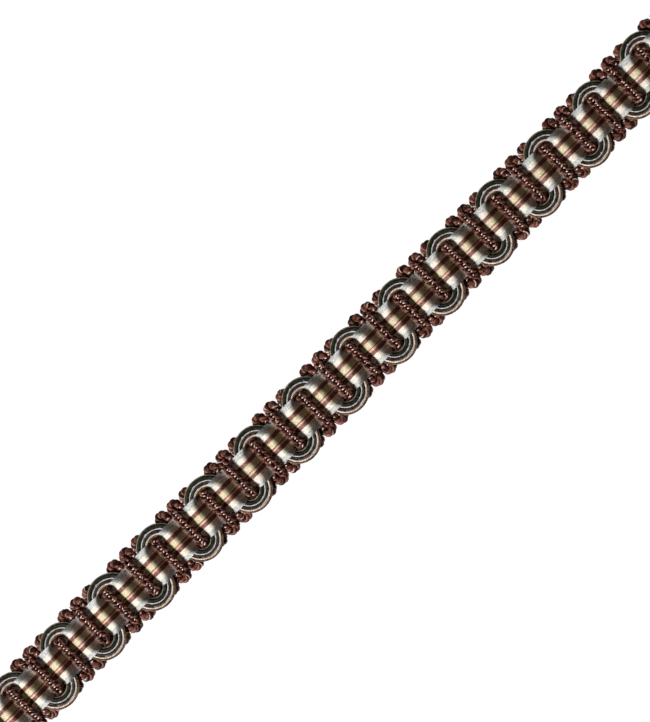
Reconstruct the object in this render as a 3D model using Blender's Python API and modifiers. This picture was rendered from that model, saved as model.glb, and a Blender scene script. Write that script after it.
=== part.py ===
"""Gimp braid trim: a straight cut length, lying face up on its flat back.

It is woven from four kinds of yarn. A thick brown picot weft runs from edge to edge and turns in a
small loop at each end of its pass. Three scroll cords snake along the braid and form a scallop round
one end of each rib, on the left edge and the right edge by turns. A wide satin warp rises over the
scroll cords and dips under the ribs. Crosswise brown ribs hold the satin down.

Frame: +X runs along the braid, +Y across it towards the left edge, +Z out of its face. The origin is
on the back, under the middle rib. Sizes are in millimetres and are turned into metres by lay().
"""

import math

import bmesh
import bpy
from mathutils import Vector

MM = 0.001
CLEARANCE = 0.3

# Ribs
RIB_SPACING = 7.165
RIBS_EACH_WAY = 14
RIB_WIDTH = 2.2
RIB_HEIGHT = 0.66
RIB_LEFT_END = 4.2
RIB_LEFT_END_IN_SCALLOP = 3.65
RIB_RIGHT_END = -4.1
RIB_TAPER_LENGTH = 0.5
RIB_TAPER = 0.55

# Picot weft
PASSES_PER_RIB = 4
PASS_PITCH = RIB_SPACING / PASSES_PER_RIB
PASSES_EACH_WAY = 59
WEFT_WIDTH = 1.45
WEFT_HEIGHT = 1.0
WEFT_FOOT = 1.0
LOOP_REACH = 7.2
LOOP_REACH_UNDER_LEFT_CROWN = 6.4
LOOP_REACH_UNDER_RIGHT_CROWN = 6.9
LOOP_STEPS = 4

# Scroll cords
CORD_DIAMETER = 0.64
CORD_PITCH = 0.97
CORD_SIDES = 5
SCALLOP_STEPS = 6
SCROLL_LEAN = 0.155
LEFT_RADIUS = RIB_SPACING / 2 - SCROLL_LEAN
RIGHT_RADIUS = RIB_SPACING / 2 + SCROLL_LEAN
LEFT_TURN = 1.85
RIGHT_TURN = -2.8
CUT_CORD_END = 4.0

# Satin warp
SATIN_THICKNESS = 0.4
SATIN_HALF_WIDTH = 4.2
SATIN_AT_CREST = 4.1
SATIN_IN_LEFT_SCALLOP = 2.7
SATIN_IN_RIGHT_SCALLOP = 3.3
SHOULDER_IN_LEFT_SCALLOP = 3.0
SHOULDER_IN_RIGHT_SCALLOP = 3.6
SHOULDER = 1.5
FOOT = 2.0
CROWN = 0.06

# Heights of the layers, each a clearance above the one below
CORD_MIDDLE = WEFT_HEIGHT + CLEARANCE + CORD_DIAMETER / 2
TROUGH = WEFT_HEIGHT + CLEARANCE + SATIN_THICKNESS / 2
CREST = CORD_MIDDLE + CORD_DIAMETER / 2 + CLEARANCE + SATIN_THICKNESS / 2
RIB_MIDDLE = TROUGH + SATIN_THICKNESS / 2 + CLEARANCE + RIB_HEIGHT / 2

# The right scallops reach further out, so the braid is shifted to centre its outline on the origin
OUTLINE_SHIFT = 0.315

# The weave is a little uneven: (reach in mm, wavelength in mm, phase) along and across the braid
UNEVEN_ALONG = [(0.11, 31.0, 0.0), (0.05, 12.3, 0.0)]
UNEVEN_ACROSS = [(0.09, 83.0, 0.0), (0.05, 27.0, 0.0)]


def sway(x, waves):
    return sum(reach * math.sin(2 * math.pi * x / length + phase) for reach, length, phase in waves)


def lay(x, y, z):
    """A point of the ideal weave, in millimetres, as it lies in the uneven braid, in metres."""
    across = y + OUTLINE_SHIFT + sway(x, UNEVEN_ACROSS)
    return Vector((x + sway(x, UNEVEN_ALONG), across, z)) * MM


def remove_everything():
    for obj in list(bpy.data.objects):
        bpy.data.objects.remove(obj)


def new_collection(name):
    collection = bpy.data.collections.new(name)
    bpy.context.scene.collection.children.link(collection)
    return collection


def new_material(name, colour, roughness):
    material = bpy.data.materials.new(name)
    material.use_nodes = True
    shader = material.node_tree.nodes["Principled BSDF"]
    shader.inputs["Base Color"].default_value = (*colour, 1.0)
    shader.inputs["Roughness"].default_value = roughness
    shader.inputs["Metallic"].default_value = 0.0
    return material


def make_section(name, outline, helpers):
    """A closed outline, in millimetres, that yarns are swept with."""
    curve = bpy.data.curves.new(name, "CURVE")
    curve.dimensions = "2D"
    spline = curve.splines.new("POLY")
    spline.points.add(len(outline) - 1)
    for point, (across, up) in zip(spline.points, outline):
        point.co = (across * MM, up * MM, 0, 1)
    spline.use_cyclic_u = True
    section = bpy.data.objects.new(name, curve)
    section.hide_render = True
    section.display_type = "WIRE"
    helpers.objects.link(section)
    return section


def make_yarn(name, route, section, material, parts, radii=None):
    """A yarn swept along the route, a list of points in metres, with cut ends."""
    curve = bpy.data.curves.new(name, "CURVE")
    curve.dimensions = "3D"
    curve.twist_mode = "Z_UP"
    curve.bevel_mode = "OBJECT"
    curve.bevel_object = section
    curve.use_fill_caps = True
    spline = curve.splines.new("POLY")
    spline.points.add(len(route) - 1)
    for index, (point, place) in enumerate(zip(spline.points, route)):
        point.co = (*place, 1)
        point.radius = radii[index] if radii else 1.0
    curve.materials.append(material)
    yarn = bpy.data.objects.new(name, curve)
    parts.objects.link(yarn)
    return yarn


def regular_outline(sides, width, height):
    """A polygon with its flat side down, filling the given width and height."""
    corners = [math.radians(-90 + 180 / sides - 360 * corner / sides) for corner in range(sides)]
    across = [math.cos(angle) for angle in corners]
    up = [math.sin(angle) for angle in corners]
    wide = width / (max(across) - min(across))
    high = height / (max(up) - min(up))
    middle = (max(up) + min(up)) / 2
    return [(a * wide, (u - middle) * high) for a, u in zip(across, up)]


def weft_outline():
    """The picot weft's section: a flat foot, bulging sides and a rounded top."""
    half, foot, top = WEFT_WIDTH / 2, WEFT_FOOT / 2, WEFT_HEIGHT
    return [(-foot, 0.0), (-half, 0.5 * top), (0.0, top), (half, 0.5 * top), (foot, 0.0)]


def loop_turn(number):
    """How far out the loop after this pass begins to turn. It is pulled in under a scallop's crown."""
    place = number % (2 * PASSES_PER_RIB)
    reach = LOOP_REACH
    if place == PASSES_PER_RIB:
        reach = LOOP_REACH_UNDER_LEFT_CROWN
    elif place == 2 * PASSES_PER_RIB - 1:
        reach = LOOP_REACH_UNDER_RIGHT_CROWN
    return reach - WEFT_WIDTH / 2 - PASS_PITCH / 2


def weft_route():
    """Across the braid pass by pass, with a half round loop at the end of each."""
    route = []
    for number in range(-PASSES_EACH_WAY, PASSES_EACH_WAY + 1):
        side = 1 if number % 2 == 0 else -1
        x = number * PASS_PITCH
        turn = loop_turn(number)
        route.append(lay(x, -side * loop_turn(number - 1), 0))
        if number == PASSES_EACH_WAY:
            route.append(lay(x, side * turn, 0))
            break
        for step in range(LOOP_STEPS):
            angle = math.pi * step / LOOP_STEPS
            along = x + PASS_PITCH / 2 * (1 - math.cos(angle))
            across = side * (turn + PASS_PITCH / 2 * math.sin(angle))
            route.append(lay(along, across, 0))
    return route


def scallop(rib):
    """(side, radius, turn) of the scallop round this rib: the left edge's at the odd ribs."""
    if rib % 2:
        return 1, LEFT_RADIUS, LEFT_TURN
    return -1, RIGHT_RADIUS, RIGHT_TURN


def scroll_route(offset):
    """One scroll cord, at this offset from the middle one, positive towards the left edge's crown."""
    first, last = -RIBS_EACH_WAY, RIBS_EACH_WAY
    side, radius, turn = scallop(first)
    route = [lay(first * RIB_SPACING - radius - side * offset, CUT_CORD_END, CORD_MIDDLE)]
    for rib in range(first, last + 1):
        side, radius, turn = scallop(rib)
        reach = radius + side * offset
        for step in range(SCALLOP_STEPS + 1):
            angle = math.pi * step / SCALLOP_STEPS
            x = rib * RIB_SPACING - reach * math.cos(angle)
            route.append(lay(x, turn + side * reach * math.sin(angle), CORD_MIDDLE))
    route.append(lay(last * RIB_SPACING + reach, CUT_CORD_END, CORD_MIDDLE))
    return route


def scroll_distance(side, y, offset):
    """How far from a scalloped rib the scroll's line at this offset from its middle lies, at height y."""
    _, radius, turn = scallop(1 if side > 0 else 0)
    rise = max(0.0, side * (y - turn))
    reach = radius + offset
    return math.sqrt(max(reach**2 - rise**2, 0.0))


def satin_edges(side, in_left_scallop, in_right_scallop):
    """(left, right) edge of the satin by a rib that a scallop goes round on this side."""
    if side > 0:
        return in_left_scallop, -SATIN_HALF_WIDTH
    return SATIN_HALF_WIDTH, -in_right_scallop


def satin_stations():
    """(rib, offset, height, left edge, right edge) of each crosswise line of the satin.

    The offset is from the scroll's middle line, towards the rib after it. It is None on a rib.
    """
    stations = []
    for rib in range(-RIBS_EACH_WAY - 1, RIBS_EACH_WAY + 1):
        side, next_side = scallop(rib)[0], scallop(rib + 1)[0]
        foot = satin_edges(side, SATIN_IN_LEFT_SCALLOP, SATIN_IN_RIGHT_SCALLOP)
        next_foot = satin_edges(next_side, SATIN_IN_LEFT_SCALLOP, SATIN_IN_RIGHT_SCALLOP)
        shoulder = satin_edges(side, SHOULDER_IN_LEFT_SCALLOP, SHOULDER_IN_RIGHT_SCALLOP)
        next_shoulder = satin_edges(next_side, SHOULDER_IN_LEFT_SCALLOP, SHOULDER_IN_RIGHT_SCALLOP)
        if rib >= -RIBS_EACH_WAY:
            stations.append((rib, None, TROUGH, *foot))
            stations.append((rib, -FOOT, TROUGH, *foot))
        stations.append((rib, -SHOULDER, CREST, *shoulder))
        stations.append((rib, 0.0, CREST + CROWN, SATIN_AT_CREST, -SATIN_AT_CREST))
        stations.append((rib, SHOULDER, CREST, *next_shoulder))
        if rib < RIBS_EACH_WAY:
            stations.append((rib, FOOT, TROUGH, *next_foot))
    return stations


def satin_point(station, share):
    """A point of the satin's middle surface: share runs from -1 at the right edge to 1 at the left."""
    rib, offset, height, left, right = station
    y = share * left if share > 0 else -share * right
    if offset is None:
        return lay(rib * RIB_SPACING, y, height)
    odd = rib if rib % 2 else rib + 1
    even = rib + 1 if rib % 2 else rib
    towards = even - odd
    if y >= 0:
        x = odd * RIB_SPACING + towards * scroll_distance(1, y, towards * offset)
    else:
        x = even * RIB_SPACING - towards * scroll_distance(-1, y, -towards * offset)
    return lay(x, y, height)


def make_satin(material, parts):
    stations = satin_stations()
    shares = [-1.0, -0.5, 0.0, 0.5, 1.0]
    shape = bmesh.new()
    bmesh.ops.create_grid(shape, x_segments=len(stations) - 1, y_segments=len(shares) - 1, size=1)
    shape.verts.ensure_lookup_table()
    for vertex in shape.verts:
        station = round((vertex.co.x + 1) / 2 * (len(stations) - 1))
        column = round((vertex.co.y + 1) / 2 * (len(shares) - 1))
        vertex.co = satin_point(stations[station], shares[column])
    mesh = bpy.data.meshes.new("satin_warp")
    shape.to_mesh(mesh)
    shape.free()
    mesh.materials.append(material)
    satin = bpy.data.objects.new("satin_warp", mesh)
    parts.objects.link(satin)
    thicken = satin.modifiers.new("Thickness", "SOLIDIFY")
    thicken.thickness = SATIN_THICKNESS * MM
    thicken.offset = 0
    return satin


def make_ribs(section, material, parts):
    """One crosswise rib over each dip of the satin. The end that a scallop goes round is shorter."""
    for rib in range(-RIBS_EACH_WAY, RIBS_EACH_WAY + 1):
        left = RIB_LEFT_END_IN_SCALLOP if rib % 2 else RIB_LEFT_END
        heights = [RIB_RIGHT_END, RIB_RIGHT_END + RIB_TAPER_LENGTH, left - RIB_TAPER_LENGTH, left]
        route = [lay(rib * RIB_SPACING, y, RIB_MIDDLE) for y in heights]
        number = rib + RIBS_EACH_WAY + 1
        make_yarn(f"rib_{number:02d}", route, section, material, parts, [RIB_TAPER, 1, 1, RIB_TAPER])


def main():
    remove_everything()
    parts = new_collection("gimp_braid")
    helpers = new_collection("helpers")

    brown = new_material("brown_yarn", (0.052, 0.014, 0.010), 0.6)
    satin = new_material("satin_yarn", (0.62, 0.55, 0.44), 0.35)
    green = new_material("green_cord", (0.026, 0.028, 0.019), 0.55)
    grey = new_material("grey_cord", (0.075, 0.060, 0.055), 0.55)
    taupe = new_material("taupe_cord", (0.200, 0.150, 0.110), 0.55)

    weft_section = make_section("weft_section", weft_outline(), helpers)
    cord_section = make_section(
        "cord_section", regular_outline(CORD_SIDES, CORD_DIAMETER, CORD_DIAMETER), helpers
    )
    rib_section = make_section("rib_section", regular_outline(6, RIB_WIDTH, RIB_HEIGHT), helpers)

    make_yarn("picot_weft", weft_route(), weft_section, brown, parts)
    make_yarn("scroll_cord_green", scroll_route(CORD_PITCH), cord_section, green, parts)
    make_yarn("scroll_cord_grey", scroll_route(0.0), cord_section, grey, parts)
    make_yarn("scroll_cord_taupe", scroll_route(-CORD_PITCH), cord_section, taupe, parts)
    make_satin(satin, parts)
    make_ribs(rib_section, brown, parts)


main()
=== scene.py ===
"""The looks of a straight cut length of gimp braid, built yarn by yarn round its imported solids.

Every yarn is a mesh of its own plies. The routes repeat the named sizes of the solids. Sizes are in
millimetres in the braid's even, ideal weave, and lay() turns them into metres in the real, slightly
uneven one. +X runs along the braid, +Y towards its left edge and +Z out of its face.
"""

import math

import bpy
import numpy as np
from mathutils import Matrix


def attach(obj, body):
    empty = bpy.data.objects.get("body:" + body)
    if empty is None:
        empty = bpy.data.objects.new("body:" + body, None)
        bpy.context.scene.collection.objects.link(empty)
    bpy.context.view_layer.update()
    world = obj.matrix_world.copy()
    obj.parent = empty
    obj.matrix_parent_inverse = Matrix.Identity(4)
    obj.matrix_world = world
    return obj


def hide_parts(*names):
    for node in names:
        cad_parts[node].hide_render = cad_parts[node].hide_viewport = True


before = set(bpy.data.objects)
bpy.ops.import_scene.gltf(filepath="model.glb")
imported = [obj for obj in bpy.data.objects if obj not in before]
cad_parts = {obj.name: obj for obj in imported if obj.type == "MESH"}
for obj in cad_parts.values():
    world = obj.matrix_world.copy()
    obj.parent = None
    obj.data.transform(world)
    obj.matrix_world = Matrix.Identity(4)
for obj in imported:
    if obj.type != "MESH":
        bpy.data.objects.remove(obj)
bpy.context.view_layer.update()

MM = 0.001
UP = np.array((0.0, 0.0, 1.0))

# Sizes shared with the solids
RIB_SPACING = 7.165
RIBS_EACH_WAY = 14
PASSES_PER_RIB = 4
PASS_PITCH = RIB_SPACING / PASSES_PER_RIB
PASSES_EACH_WAY = 59
LOOP_REACH = 7.2
LOOP_REACH_UNDER_LEFT_CROWN = 6.4
LOOP_REACH_UNDER_RIGHT_CROWN = 6.9
SCROLL_LEAN = 0.155
LEFT_RADIUS = RIB_SPACING / 2 - SCROLL_LEAN
RIGHT_RADIUS = RIB_SPACING / 2 + SCROLL_LEAN
LEFT_TURN = 1.85
RIGHT_TURN = -2.8
CUT_CORD_END = 4.0
CORD_MIDDLE = 1.62
OUTLINE_SHIFT = 0.315
UNEVEN_ALONG = [(0.11, 31.0, 0.0), (0.05, 12.3, 0.0)]
UNEVEN_ACROSS = [(0.09, 83.0, 0.0), (0.05, 27.0, 0.0)]

# Picot weft: three plies, twisted, thicker towards the braid's edges. One ply is in the near-black brown
# that paints the shade between the plies
WEFT_WIDTH = 1.45
WEFT_PLIES = 3
WEFT_PLY = 0.36
WEFT_PLY_OUT = 0.38
WEFT_PLY_UP = 0.25
WEFT_CLEAR = 0.03
WEFT_TWIST = 2.4
WEFT_STEP = 0.2
HIDDEN_WEFT_STEP = 0.42
HIDDEN_WEFT_TO = 3.0
LOOP_FATTER = 0.34
FATTER_FROM = 2.6
FATTER_OVER = 0.6
WEFT_SIDES = 5

# Copper strand that is twisted in with the picot weft and shows here and there. Its pale colour is real
# copper with a painted glint of the metal
STRAND_RADIUS = 0.12
STRAND_DEEPEST = 0.15
STRAND_HIGHEST = 0.72
STRAND_CHANGES = 0.9
STRAND_SHOWN_FROM = 4.1
STRAND_SIDES = 4
FEWEST_STRAND_RINGS = 4
NECK = 4.75
NECK_SPREAD = 0.2
NECK_TOP = 1.4

# Ribs: a yarn of two plies that goes up one side, round a dome and down the other side. One ply and the
# core along the seam are in the near-black brown that paints shade
RIB_LEG = 0.5
RIB_PLY = 0.32
RIB_PLY_OUT = 0.24
RIB_MIDDLE = 2.0
RIB_TWIST = 1.38
RIB_STEP = 0.13
RIB_UNEVEN = 0.2
RIB_SIDES = 6
DOME_RADIUS = 0.78
DOME_TOP_LEFT = 4.2
DOME_TOP_RIGHT = 4.6
DOME_NECK = 0.9
RIB_OPEN_END = 5.5
RIB_FALLS_FROM = 2.9
RIB_OPEN_END_HEIGHT = 1.0
CORE_RADIUS = 0.36
CORE_MIDDLE = 1.9
CORE_RINGS = 24

# Arc in the near-black brown, painted shade, between each dome and the scroll cords
RING_LEFT = 1.85
RING_RIGHT = 1.77
RING_RADIUS = 0.38
RING_MIDDLE = 1.45
RING_HALF_ANGLE = math.radians(40.0)
RING_POINTS = 9

# Copper stitches across the seam of each rib and the necks of the picots. Their pale colour is real
# copper with painted glints and crest highlights
STITCH_PITCH = 0.69
STITCH_JITTER = 0.14
STITCH_WANDER = 0.14
STITCH_TILT = 0.17
STITCH_HALF_LENGTHS = (0.14, 0.4)
STITCH_TOP = 2.52
STITCH_RADIUS = 0.16
STITCH_DROP = 0.2
STITCHES_LEFT_OUT = 0.12
STITCH_POINTS = 5
STITCH_TAPER = 0.4
STITCH_SIDES = 6

# Satin warp
SATIN_EDGE = 4.2
TROUGH = 1.35
RISE = 1.35
FOOT_FROM_RIB = 1.25
EDGE_LEAN = 0.9
LEAN_POWER = 6
EDGE_DROP = 0.12
EDGE_POWER = 4
PINCH = 0.5
PINCH_REACH = 1.5
PINCH_DROP = 0.3
ROWS_PER_RIB = 18
CUT_SATIN_REACH = 14.72
END_ARCH = [(-1.0, 0.0), (-0.5, 0.8), (0.0, 1.0), (0.5, 0.8), (1.0, 0.0)]
END_RISE = 0.08
END_OVERLAP = 1.2
END_WANDER = 0.015
WANDER_LENGTHS = (9, 23)
WANDER_PHASE = 6.3
END_LIFT = 0.03

# Stripes from the left edge to the right: (yarn, warp ends)
STRIPES = [
    ("silver", 6),
    ("cream", 5),
    ("russet", 4),
    ("straw", 1),
    ("olive", 6),
    ("russet", 1),
    ("copper", 2),
    ("russet", 4),
    ("cream", 6),
    ("silver", 5),
]

# Wrapped scroll cords: (name, offset from the middle cord, radius, yarn, solid it stands for, slot)
WRAPPED_CORDS = [
    ("scroll_cord_green", 1.0, 0.36, "green", "scroll_cord_green", "green_cord"),
    ("scroll_cord_grey", 0.0, 0.28, "grey", "scroll_cord_grey", "grey_cord"),
    ("scroll_cord_taupe", -0.97, 0.23, "taupe", "scroll_cord_taupe", "taupe_cord"),
    ("scroll_edge_olive", 1.47, 0.12, "moss", None, "green_cord"),
]
# Thin twisted scroll cords: (name, offset from the middle cord, ply radius, yarn, slot)
TWISTED_CORDS = [
    ("scroll_line_white", 0.43, 0.1, "white", "grey_cord"),
    ("scroll_line_cream", -0.54, 0.15, "rose", "taupe_cord"),
]
WRAP_STEP = 0.2
WRAP_DEPTH = 0.05
WRAPPED_SIDES = 8
TWISTED_STEP = 0.1
TWISTED_PITCH = 0.72
TWISTED_OUT = 0.7
TWISTED_SIDES = 4
HIDDEN_STEPS = 3
LINE_RISE = 0.18

# Yarn colours: (name, dark tone, light tone, roughness, gloss, grain across and along the braid)
SPUN = (1500.0, 1500.0)
FILAMENT = (4500.0, 130.0)
YARNS = [
    ("brown", (0.020, 0.004, 0.002), (0.320, 0.115, 0.080), 0.42, 0.2, SPUN),
    # Near-black copy of the brown yarn: painted shade, given to one ply of the picot weft, one ply of
    # each rib, the rib cores and the arcs by the domes
    ("shaded_brown", (0.002, 0.001, 0.001), (0.060, 0.016, 0.010), 0.42, 0.2, SPUN),
    # Pale copper: the copper thread's own colour with the glint of the metal painted in
    ("copper_with_painted_glint", (0.62, 0.33, 0.27), (1.0, 0.78, 0.68), 0.25, 0.5, SPUN),
    ("silver", (0.30, 0.30, 0.29), (0.66, 0.67, 0.64), 0.38, 0.6, FILAMENT),
    ("cream", (0.56, 0.46, 0.36), (0.97, 0.90, 0.77), 0.38, 0.6, FILAMENT),
    ("russet", (0.035, 0.007, 0.004), (0.290, 0.105, 0.070), 0.38, 0.6, FILAMENT),
    ("straw", (0.36, 0.24, 0.13), (0.74, 0.56, 0.38), 0.38, 0.6, FILAMENT),
    ("olive", (0.46, 0.38, 0.22), (0.80, 0.70, 0.46), 0.38, 0.6, FILAMENT),
    ("copper", (0.46, 0.22, 0.14), (0.86, 0.56, 0.42), 0.38, 0.6, FILAMENT),
    ("green", (0.005, 0.007, 0.004), (0.036, 0.038, 0.024), 0.42, 0.2, SPUN),
    ("grey", (0.014, 0.011, 0.010), (0.075, 0.060, 0.056), 0.42, 0.2, SPUN),
    ("taupe", (0.050, 0.030, 0.018), (0.220, 0.150, 0.105), 0.42, 0.2, SPUN),
    ("moss", (0.150, 0.130, 0.080), (0.380, 0.340, 0.250), 0.42, 0.2, SPUN),
    ("white", (0.45, 0.43, 0.43), (0.88, 0.86, 0.84), 0.35, 0.3, SPUN),
    ("rose", (0.60, 0.44, 0.34), (1.0, 0.85, 0.71), 0.35, 0.3, SPUN),
]

# Tones and fibres of the yarns
TONE_DETAIL = 3.0
DARK_UP_TO = 0.32
LIGHT_FROM = 0.64
FIBRE_SCALE = 3.0
FIBRE_DETAIL = 2.0
FIBRE_BUMP = 0.35
FIBRE_DEPTH = 0.00006

# Camera: the photo's frame, looking straight down, and where its middle lies on the braid
PHOTO_HEIGHT = 722
MM_PER_PIXEL = 15.0 / 72.0
BRAID_ANGLE = 45.51
FRAME_MIDDLE = (1.39, 4.93)
LENS = 100.0
SENSOR = 36.0

# White floor, light and world, in metres, watts and degrees
FLOOR_HALF = 8.0
FLOOR_BELOW = 0.00005
FLOOR_TONE = (0.3, 0.3, 0.3, 1.0)
FLOOR_ROUGHNESS = 0.9
WHITE = (1.0, 1.0, 1.0, 1.0)
FLOOR_GLOW = 0.95
KEY_BEARING = 180.0
KEY_HEIGHT = 29.0
KEY_DISTANCE = 1.2
KEY_SIZE = 0.4
KEY_POWER = 20.0
WORLD_TONE = (1.0, 0.82, 0.68, 1.0)
WORLD_STRENGTH = 0.07
SEED = 7


def sway(x, waves):
    return sum(reach * np.sin(2 * np.pi * x / length + phase) for reach, length, phase in waves)


def lay(points):
    """Points of the ideal weave, in millimetres, as they lie in the uneven braid, in metres."""
    x, y, z = np.asarray(points, dtype=float).T
    along = x + sway(x, UNEVEN_ALONG)
    across = y + OUTLINE_SHIFT + sway(x, UNEVEN_ACROSS)
    return np.stack((along, across, z), axis=1) * MM


def unit(vectors):
    return vectors / np.linalg.norm(vectors, axis=1, keepdims=True)


def directions(route):
    """Unit vectors across and above a route, at each of its points."""
    ahead = unit(np.gradient(route, axis=0))
    across = unit(np.cross(ahead, UP))
    return across, np.cross(across, ahead)


def distances(route):
    steps = np.linalg.norm(np.diff(route, axis=0), axis=1)
    return np.concatenate(([0.0], np.cumsum(steps)))


def smooth(share):
    """0 below 0, 1 above 1, and a soft rise between."""
    share = np.clip(share, 0.0, 1.0)
    return share * share * (3.0 - 2.0 * share)


class Piece:
    """Gathers tubes and strips, in millimetres, and makes one mesh object of them."""

    def __init__(self):
        self.points = []
        self.quads = []
        self.triangles = []
        self.quad_slots = []
        self.triangle_slots = []
        self.count = 0

    def tube(self, route, radius, sides, slot=0):
        """A closed round tube. The radius is one number, or one for each point of the route."""
        rings = len(route)
        radius = np.broadcast_to(np.asarray(radius, dtype=float), (rings,))
        across, above = directions(route)
        angles = 2 * np.pi * np.arange(sides) / sides
        around = (
            across[:, None, :] * np.cos(angles)[None, :, None]
            + above[:, None, :] * np.sin(angles)[None, :, None]
        )
        points = route[:, None, :] + around * radius[:, None, None]
        ring = np.arange(rings - 1)[:, None] * sides
        side = np.arange(sides)[None, :]
        turn = (side + 1) % sides
        quads = np.stack((ring + side, ring + sides + side, ring + sides + turn, ring + turn), axis=-1)
        first, last = rings * sides, rings * sides + 1
        start = np.arange(sides)
        after = (start + 1) % sides
        end = start + (rings - 1) * sides
        end_after = after + (rings - 1) * sides
        caps = [np.stack((start, after, np.full(sides, first)), axis=1)]
        caps.append(np.stack((end_after, end, np.full(sides, last)), axis=1))
        self.points.append(np.concatenate((points.reshape(-1, 3), route[:1], route[-1:])))
        self.quads.append(quads.reshape(-1, 4) + self.count)
        self.triangles.append(np.concatenate(caps) + self.count)
        self.quad_slots.append(np.full((rings - 1) * sides, slot))
        self.triangle_slots.append(np.full(2 * sides, slot))
        self.count += last + 1

    def strip(self, points, slot):
        """A strip of rows of points, with its right side up."""
        rows, columns = points.shape[:2]
        row = np.arange(rows - 1)[:, None] * columns
        column = np.arange(columns - 1)[None, :]
        corner = row + column
        quads = np.stack((corner, corner + columns, corner + columns + 1, corner + 1), axis=-1)
        self.points.append(points.reshape(-1, 3))
        self.quads.append(quads.reshape(-1, 4) + self.count)
        self.quad_slots.append(np.full((rows - 1) * (columns - 1), slot))
        self.count += rows * columns

    def make(self, name, yarns, slot):
        """The mesh object, riding on the braid, with a material for each yarn."""
        points = lay(np.concatenate(self.points))
        quads = np.concatenate(self.quads)
        faces = quads.tolist()
        slots = np.concatenate(self.quad_slots)
        if self.triangles:
            triangles = np.concatenate(self.triangles)
            faces += triangles.tolist()
            slots = np.concatenate((slots, *self.triangle_slots))
        mesh = bpy.data.meshes.new(name)
        mesh.from_pydata(points.tolist(), [], faces)
        mesh.polygons.foreach_set("use_smooth", np.ones(len(faces), dtype=bool))
        mesh.polygons.foreach_set("material_index", slots)
        for yarn in yarns:
            mesh.materials.append(materials[yarn])
        mesh.update()
        obj = bpy.data.objects.new(name, mesh)
        bpy.context.scene.collection.objects.link(obj)
        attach(obj, "root")
        return obj


def ply(route, turn, out, up):
    """A ply that winds round the route: turn is its angle at each point, in radians."""
    across, above = directions(route)
    return route + across * (out * np.cos(turn))[:, None] + above * (up * np.sin(turn))[:, None]


def yarn_material(name, dark, light, roughness, gloss, grain):
    """Dyed yarn: changes of tone from fibre to fibre, fine fibres in its bump, and a silky gloss."""
    material = bpy.data.materials.new(name + "_yarn")
    material.use_nodes = True
    nodes, links = material.node_tree.nodes, material.node_tree.links
    shader = nodes["Principled BSDF"]
    shader.inputs["Roughness"].default_value = roughness
    shader.inputs["Specular IOR Level"].default_value = gloss
    place = nodes.new("ShaderNodeTexCoord")
    stretch = nodes.new("ShaderNodeMapping")
    across, along = grain
    stretch.inputs["Scale"].default_value = (along, across, across)
    tone = nodes.new("ShaderNodeTexNoise")
    tone.inputs["Scale"].default_value = 1.0
    tone.inputs["Detail"].default_value = TONE_DETAIL
    ramp = nodes.new("ShaderNodeValToRGB")
    ramp.color_ramp.elements[0].position = DARK_UP_TO
    ramp.color_ramp.elements[0].color = (*dark, 1.0)
    ramp.color_ramp.elements[1].position = LIGHT_FROM
    ramp.color_ramp.elements[1].color = (*light, 1.0)
    fibre = nodes.new("ShaderNodeTexNoise")
    fibre.inputs["Scale"].default_value = FIBRE_SCALE
    fibre.inputs["Detail"].default_value = FIBRE_DETAIL
    bump = nodes.new("ShaderNodeBump")
    bump.inputs["Strength"].default_value = FIBRE_BUMP
    bump.inputs["Distance"].default_value = FIBRE_DEPTH
    links.new(place.outputs["Object"], stretch.inputs["Vector"])
    links.new(stretch.outputs["Vector"], tone.inputs["Vector"])
    links.new(stretch.outputs["Vector"], fibre.inputs["Vector"])
    links.new(tone.outputs["Fac"], ramp.inputs["Fac"])
    links.new(ramp.outputs["Color"], shader.inputs["Base Color"])
    links.new(fibre.outputs["Fac"], bump.inputs["Height"])
    links.new(bump.outputs["Normal"], shader.inputs["Normal"])
    return material


def loop_turn(number):
    """How far out the loop after this pass begins to turn. It is pulled in under a scallop's crown."""
    place = number % (2 * PASSES_PER_RIB)
    reach = LOOP_REACH
    if place == PASSES_PER_RIB:
        reach = LOOP_REACH_UNDER_LEFT_CROWN
    elif place == 2 * PASSES_PER_RIB - 1:
        reach = LOOP_REACH_UNDER_RIGHT_CROWN
    return reach - WEFT_WIDTH / 2 - PASS_PITCH / 2


def weft_route():
    """The whole picot weft, with a half round loop at the end of each pass, and how fat it is."""
    route = []
    for number in range(-PASSES_EACH_WAY, PASSES_EACH_WAY + 1):
        side = 1 if number % 2 == 0 else -1
        x = number * PASS_PITCH
        start, end = -side * loop_turn(number - 1), side * loop_turn(number)
        hidden = side * HIDDEN_WEFT_TO
        places = (start, -hidden, hidden, end)
        runs = zip(places, places[1:], (WEFT_STEP, HIDDEN_WEFT_STEP, WEFT_STEP))
        for first, last, step in runs:
            for y in np.linspace(first, last, round(abs(last - first) / step), endpoint=False):
                route.append((x, y))
        if number == PASSES_EACH_WAY:
            break
        count = round(math.pi * PASS_PITCH / 2 / WEFT_STEP)
        for angle in np.linspace(0, math.pi, count, endpoint=False):
            along = x + PASS_PITCH / 2 * (1 - math.cos(angle))
            across = end + side * PASS_PITCH / 2 * math.sin(angle)
            route.append((along, across))
    x, y = np.array(route).T
    fat = 1 + LOOP_FATTER * smooth((np.abs(y) - FATTER_FROM) / FATTER_OVER)
    return np.stack((x, y, WEFT_CLEAR + WEFT_PLY_UP + WEFT_PLY * fat), axis=1), fat


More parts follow.
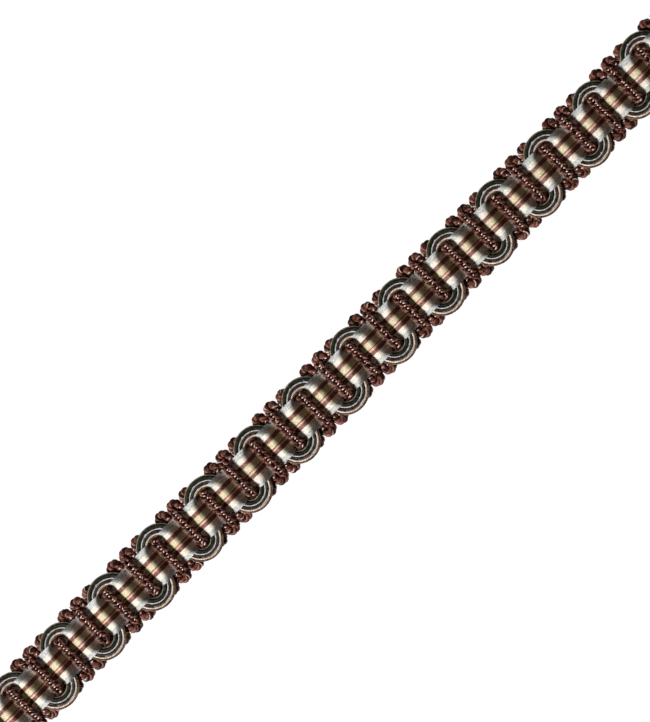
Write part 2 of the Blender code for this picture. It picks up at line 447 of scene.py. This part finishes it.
def make_picot_weft():
    route, fat = weft_route()
    place = distances(route)
    turn = 2 * np.pi * place / WEFT_TWIST
    piece = Piece()
    for number in range(WEFT_PLIES):
        start = 2 * np.pi * number / WEFT_PLIES
        # One ply in the near-black brown: painted shade between the plies
        slot = 1 if number == 0 else 0
        wound = ply(route, turn + start, WEFT_PLY_OUT * fat, WEFT_PLY_UP)
        piece.tube(wound, WEFT_PLY * fat, WEFT_SIDES, slot)
    weft = piece.make("picot_weft_yarn", ["brown", "shaded_brown"], "brown_yarn")
    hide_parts("picot_weft")

    # Copper strand in pale copper: the metal's glint is painted into its colour
    strand_with_glint = Piece()
    changes = np.arange(0, place[-1] + STRAND_CHANGES, STRAND_CHANGES)
    depth = np.interp(place, changes, chance.uniform(STRAND_DEEPEST, STRAND_HIGHEST, len(changes)))
    wound = ply(route, turn + np.pi / WEFT_PLIES, depth * fat, depth)
    shown = np.abs(route[:, 1]) > STRAND_SHOWN_FROM
    starts = np.flatnonzero(shown & ~np.roll(shown, 1))
    for start in starts:
        stop = start + int(np.argmin(shown[start:])) if not shown[start:].all() else len(shown)
        if stop - start >= FEWEST_STRAND_RINGS:
            strand_with_glint.tube(wound[start:stop], STRAND_RADIUS, STRAND_SIDES)
    # Pale copper at the necks of the picots: painted glints
    for number in range(-PASSES_EACH_WAY, PASSES_EACH_WAY + 1):
        for side in (-1, 1):
            y = side * (NECK + chance.uniform(-NECK_SPREAD, NECK_SPREAD))
            stitch_with_glint(strand_with_glint, number * PASS_PITCH, y, NECK_TOP)
    strand_with_glint.make("picot_copper_with_painted_glint", ["copper_with_painted_glint"], "brown_yarn")


def stitch_with_glint(piece, x, y, top):
    """A short copper stitch, roughly along the braid, that dips into the yarn at both ends. Its pale
    colour paints the glint of the metal.
    """
    share = np.linspace(-1, 1, STITCH_POINTS)
    reach = chance.uniform(*STITCH_HALF_LENGTHS)
    middle = x + chance.uniform(-STITCH_WANDER, STITCH_WANDER)
    tilt = chance.uniform(-STITCH_TILT, STITCH_TILT)
    route = np.stack((middle + reach * share, y + tilt * share, top - STITCH_DROP * share**2), axis=1)
    piece.tube(route, STITCH_RADIUS * (1 - STITCH_TAPER * share**2), STITCH_SIDES)


def rib_fall(y):
    """How far the rib has fallen towards the picots at height y, where its open end is at the bottom."""
    share = smooth((-y - RIB_FALLS_FROM) / (RIB_OPEN_END - RIB_FALLS_FROM))
    return (RIB_MIDDLE - RIB_OPEN_END_HEIGHT) * share


def rib_route(side):
    """A rib's yarn in the rib's own place: up one leg, round the dome and down the other leg."""
    top = DOME_TOP_LEFT if side > 0 else DOME_TOP_RIGHT
    centre = top - DOME_RADIUS - RIB_PLY - RIB_PLY_OUT
    y = np.linspace(-RIB_OPEN_END, centre, round((RIB_OPEN_END + centre) / RIB_STEP), endpoint=False)
    x = RIB_LEG + (DOME_RADIUS - RIB_LEG) * smooth((y - (centre - DOME_NECK)) / DOME_NECK)
    leg = np.stack((x, side * y, RIB_MIDDLE - rib_fall(y)), axis=1)
    angles = np.linspace(0, np.pi, round(np.pi * DOME_RADIUS / RIB_STEP) + 1)
    across = side * (centre + DOME_RADIUS * np.sin(angles))
    dome = np.stack((DOME_RADIUS * np.cos(angles), across, np.full_like(angles, RIB_MIDDLE)), axis=1)
    return np.concatenate((leg, dome, leg[::-1] * (-1, 1, 1)))


def make_ribs():
    ribs, stitches_with_glint = Piece(), Piece()
    for rib in range(-RIBS_EACH_WAY, RIBS_EACH_WAY + 1):
        side = 1 if rib % 2 else -1
        middle = rib * RIB_SPACING
        top = DOME_TOP_LEFT if side > 0 else DOME_TOP_RIGHT
        route = rib_route(side) + (middle, 0, 0)
        turn = 2 * np.pi * distances(route) / RIB_TWIST + chance.uniform(0, 2 * np.pi)
        # The second ply is in the near-black brown: painted shade in the seam
        for slot, start in enumerate((0.0, np.pi)):
            radius = RIB_PLY * chance.uniform(1 - RIB_UNEVEN, 1 + RIB_UNEVEN, len(route))
            ribs.tube(ply(route, turn + start, RIB_PLY_OUT, RIB_PLY_OUT), radius, RIB_SIDES, slot)
        # Core along the seam in the near-black brown: painted shade where the plies part
        y = np.linspace(-RIB_OPEN_END, top - 2 * RIB_PLY, CORE_RINGS)
        core = np.stack((np.full_like(y, middle), side * y, CORE_MIDDLE - rib_fall(y)), axis=1)
        ribs.tube(core, CORE_RADIUS, RIB_SIDES, 1)
        # Arc by the dome in the near-black brown: painted shade
        scroll_turn, reach = (LEFT_TURN, RING_LEFT) if side > 0 else (RIGHT_TURN, RING_RIGHT)
        angles = np.linspace(np.pi / 2 - RING_HALF_ANGLE, np.pi / 2 + RING_HALF_ANGLE, RING_POINTS)
        ring_x = middle + reach * np.cos(angles)
        ring_y = scroll_turn + side * reach * np.sin(angles)
        ring = np.stack((ring_x, ring_y, np.full_like(angles, RING_MIDDLE)), axis=1)
        ribs.tube(ring, RING_RADIUS, RIB_SIDES, 1)
        # Pale copper along the rib's crest: copper stitches whose colour paints the crest highlights
        for place in np.arange(-RIB_OPEN_END + STITCH_PITCH, top - RIB_PLY, STITCH_PITCH):
            if chance.random() > STITCHES_LEFT_OUT:
                place += chance.uniform(-STITCH_JITTER, STITCH_JITTER)
                stitch_with_glint(stitches_with_glint, middle, side * place, STITCH_TOP - rib_fall(place))
    piece = ribs.make("ribs_yarn", ["brown", "shaded_brown"], "brown_yarn")
    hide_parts(*(f"rib_{number:02d}" for number in range(1, 2 * RIBS_EACH_WAY + 2)))
    stitches_with_glint.make("ribs_copper_with_painted_glint", ["copper_with_painted_glint"], "brown_yarn")


def scroll_distance(side, y):
    """How far from the rib that it scallops round the scroll's middle line lies, at height y."""
    radius, turn = (LEFT_RADIUS, LEFT_TURN) if side > 0 else (RIGHT_RADIUS, RIGHT_TURN)
    rise = np.maximum(0.0, side * (y - turn))
    return np.sqrt(np.maximum(radius**2 - rise**2, 0.0))


def scroll_route(offset, step):
    """A scroll cord's route. It has fine steps where a scallop shows and a few where it is hidden."""
    start_rib = -RIBS_EACH_WAY
    side = 1 if start_rib % 2 else -1
    radius = LEFT_RADIUS if side > 0 else RIGHT_RADIUS
    x = start_rib * RIB_SPACING - radius - side * offset
    route = [(x, CUT_CORD_END, CORD_MIDDLE)]
    for rib in range(-RIBS_EACH_WAY, RIBS_EACH_WAY + 1):
        side = 1 if rib % 2 else -1
        radius, turn = (LEFT_RADIUS, LEFT_TURN) if side > 0 else (RIGHT_RADIUS, RIGHT_TURN)
        reach = radius + side * offset
        last_x, last_y, _ = route[-1]
        for share in np.linspace(0, 1, HIDDEN_STEPS + 1, endpoint=False)[1:]:
            route.append((last_x, last_y + (turn - last_y) * share, CORD_MIDDLE))
        count = round(math.pi * reach / step)
        for angle in np.linspace(0, math.pi, count):
            place = (rib * RIB_SPACING - reach * math.cos(angle), turn + side * reach * math.sin(angle))
            route.append((*place, CORD_MIDDLE))
    last_x, last_y, _ = route[-1]
    route.append((last_x, CUT_CORD_END, CORD_MIDDLE))
    return np.array(route)


def make_scroll_cords():
    for name, offset, radius, yarn, solid, slot in WRAPPED_CORDS:
        route = scroll_route(offset, WRAP_STEP)
        wraps = 1 + WRAP_DEPTH * np.where(np.arange(len(route)) % 2, 1.0, -1.0)
        piece = Piece()
        piece.tube(route, radius * wraps, WRAPPED_SIDES)
        cord = piece.make(name + "_yarn", [yarn], slot)
        if solid:
            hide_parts(solid)
    for name, offset, radius, yarn, slot in TWISTED_CORDS:
        route = scroll_route(offset, TWISTED_STEP)
        route[:, 2] += LINE_RISE
        turn = 2 * np.pi * distances(route) / TWISTED_PITCH
        piece = Piece()
        for start in (0.0, np.pi):
            out = radius * TWISTED_OUT
            piece.tube(ply(route, turn + start, out, out), radius, TWISTED_SIDES)
        piece.make(name + "_yarn", [yarn], slot)


def satin_height(x, y):
    """The satin's height over the scroll cords and down to the troughs under the ribs."""
    rib = np.floor(x / RIB_SPACING)
    after_rib = x - rib * RIB_SPACING
    lean = EDGE_LEAN * (np.abs(y) / SATIN_EDGE) ** LEAN_POWER
    from_scalloped = np.where(y >= 0, scroll_distance(1, y), scroll_distance(-1, y)) - lean
    scalloped = (rib % 2 == 1) == (y >= 0)
    ridge = np.where(scalloped, from_scalloped, RIB_SPACING - from_scalloped)
    away = after_rib - ridge
    room = np.where(away < 0, ridge, RIB_SPACING - ridge) - FOOT_FROM_RIB
    share = np.clip(np.abs(away) / room, 0.0, 1.0)
    return TROUGH + RISE * 0.5 * (1 + np.cos(np.pi * share))


def scallop_nearness(x, side):
    """1 at a rib that a scallop goes round on this side, falling to 0 away from it."""
    parity = 1 if side > 0 else 0
    rib = 2 * np.round((x / RIB_SPACING - parity) / 2) + parity
    return np.exp(-(((x - rib * RIB_SPACING) / PINCH_REACH) ** 2))


def make_satin():
    count = sum(ends for _, ends in STRIPES)
    yarns = sorted({yarn for yarn, _ in STRIPES})
    pitch = 2 * SATIN_EDGE / count
    rows = round(2 * CUT_SATIN_REACH * ROWS_PER_RIB)
    x = np.linspace(-CUT_SATIN_REACH, CUT_SATIN_REACH, rows) * RIB_SPACING
    piece = Piece()
    number = 0
    for yarn, ends in STRIPES:
        for _ in range(ends):
            middle = SATIN_EDGE - (number + 0.5) * pitch
            side = 1 if middle > 0 else -1
            outer = (abs(middle) / SATIN_EDGE) ** EDGE_POWER
            near = scallop_nearness(x, side) * outer
            wave = 2 * np.pi * x / chance.uniform(*WANDER_LENGTHS) + chance.uniform(0, WANDER_PHASE)
            y = middle - side * PINCH * near + END_WANDER * np.sin(wave)
            lift = chance.uniform(-END_LIFT, END_LIFT)
            z = satin_height(x, y) - EDGE_DROP * outer - PINCH_DROP * near + lift
            half = pitch / 2 * END_OVERLAP
            columns = []
            for across, up in END_ARCH:
                columns.append(np.stack((x, y - across * half, z + up * END_RISE), axis=1))
            piece.strip(np.stack(columns, axis=1), yarns.index(yarn))
            number += 1
    satin = piece.make("satin_warp_yarn", yarns, "satin_yarn")
    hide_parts("satin_warp")


def make_floor():
    mesh = bpy.data.meshes.new("floor")
    half = FLOOR_HALF
    corners = [(-half, -half, 0.0), (half, -half, 0.0), (half, half, 0.0), (-half, half, 0.0)]
    mesh.from_pydata(corners, [], [(0, 1, 2, 3)])
    floor = bpy.data.objects.new("floor", mesh)
    floor.location.z = -FLOOR_BELOW
    bpy.context.scene.collection.objects.link(floor)
    material = bpy.data.materials.new("floor_paper")
    material.use_nodes = True
    shader = material.node_tree.nodes["Principled BSDF"]
    shader.inputs["Base Color"].default_value = FLOOR_TONE
    shader.inputs["Roughness"].default_value = FLOOR_ROUGHNESS
    shader.inputs["Emission Color"].default_value = WHITE
    shader.inputs["Emission Strength"].default_value = FLOOR_GLOW
    mesh.materials.append(material)


def make_light():
    """One area light, low at the braid's near end, that faces the braid's middle."""
    data = bpy.data.lights.new("key", "AREA")
    data.shape = "DISK"
    data.size = KEY_SIZE
    data.energy = KEY_POWER
    light = bpy.data.objects.new("key", data)
    turn, tilt = math.radians(KEY_BEARING), math.radians(KEY_HEIGHT)
    light.location = (
        KEY_DISTANCE * math.cos(tilt) * math.cos(turn),
        KEY_DISTANCE * math.cos(tilt) * math.sin(turn),
        KEY_DISTANCE * math.sin(tilt),
    )
    light.rotation_euler = (math.pi / 2 - tilt, 0, turn + math.pi / 2)
    bpy.context.scene.collection.objects.link(light)


def make_world():
    world = bpy.data.worlds.new("studio")
    world.use_nodes = True
    background = world.node_tree.nodes["Background"]
    background.inputs["Color"].default_value = WORLD_TONE
    background.inputs["Strength"].default_value = WORLD_STRENGTH
    bpy.context.scene.world = world


def make_camera():
    data = bpy.data.cameras.new("camera")
    data.lens = LENS
    data.sensor_width = SENSOR
    camera = bpy.data.objects.new("camera", data)
    height = PHOTO_HEIGHT * MM_PER_PIXEL * LENS / SENSOR
    camera.location = (FRAME_MIDDLE[0] * MM, FRAME_MIDDLE[1] * MM, height * MM)
    camera.rotation_euler = (0, 0, -math.radians(BRAID_ANGLE))
    bpy.context.scene.collection.objects.link(camera)
    bpy.context.scene.camera = camera


chance = np.random.default_rng(SEED)
materials = {row[0]: yarn_material(*row) for row in YARNS}

make_picot_weft()
make_ribs()
make_scroll_cords()
make_satin()
make_floor()
make_camera()
make_light()
make_world()
bpy.context.scene.view_settings.view_transform = "Standard"
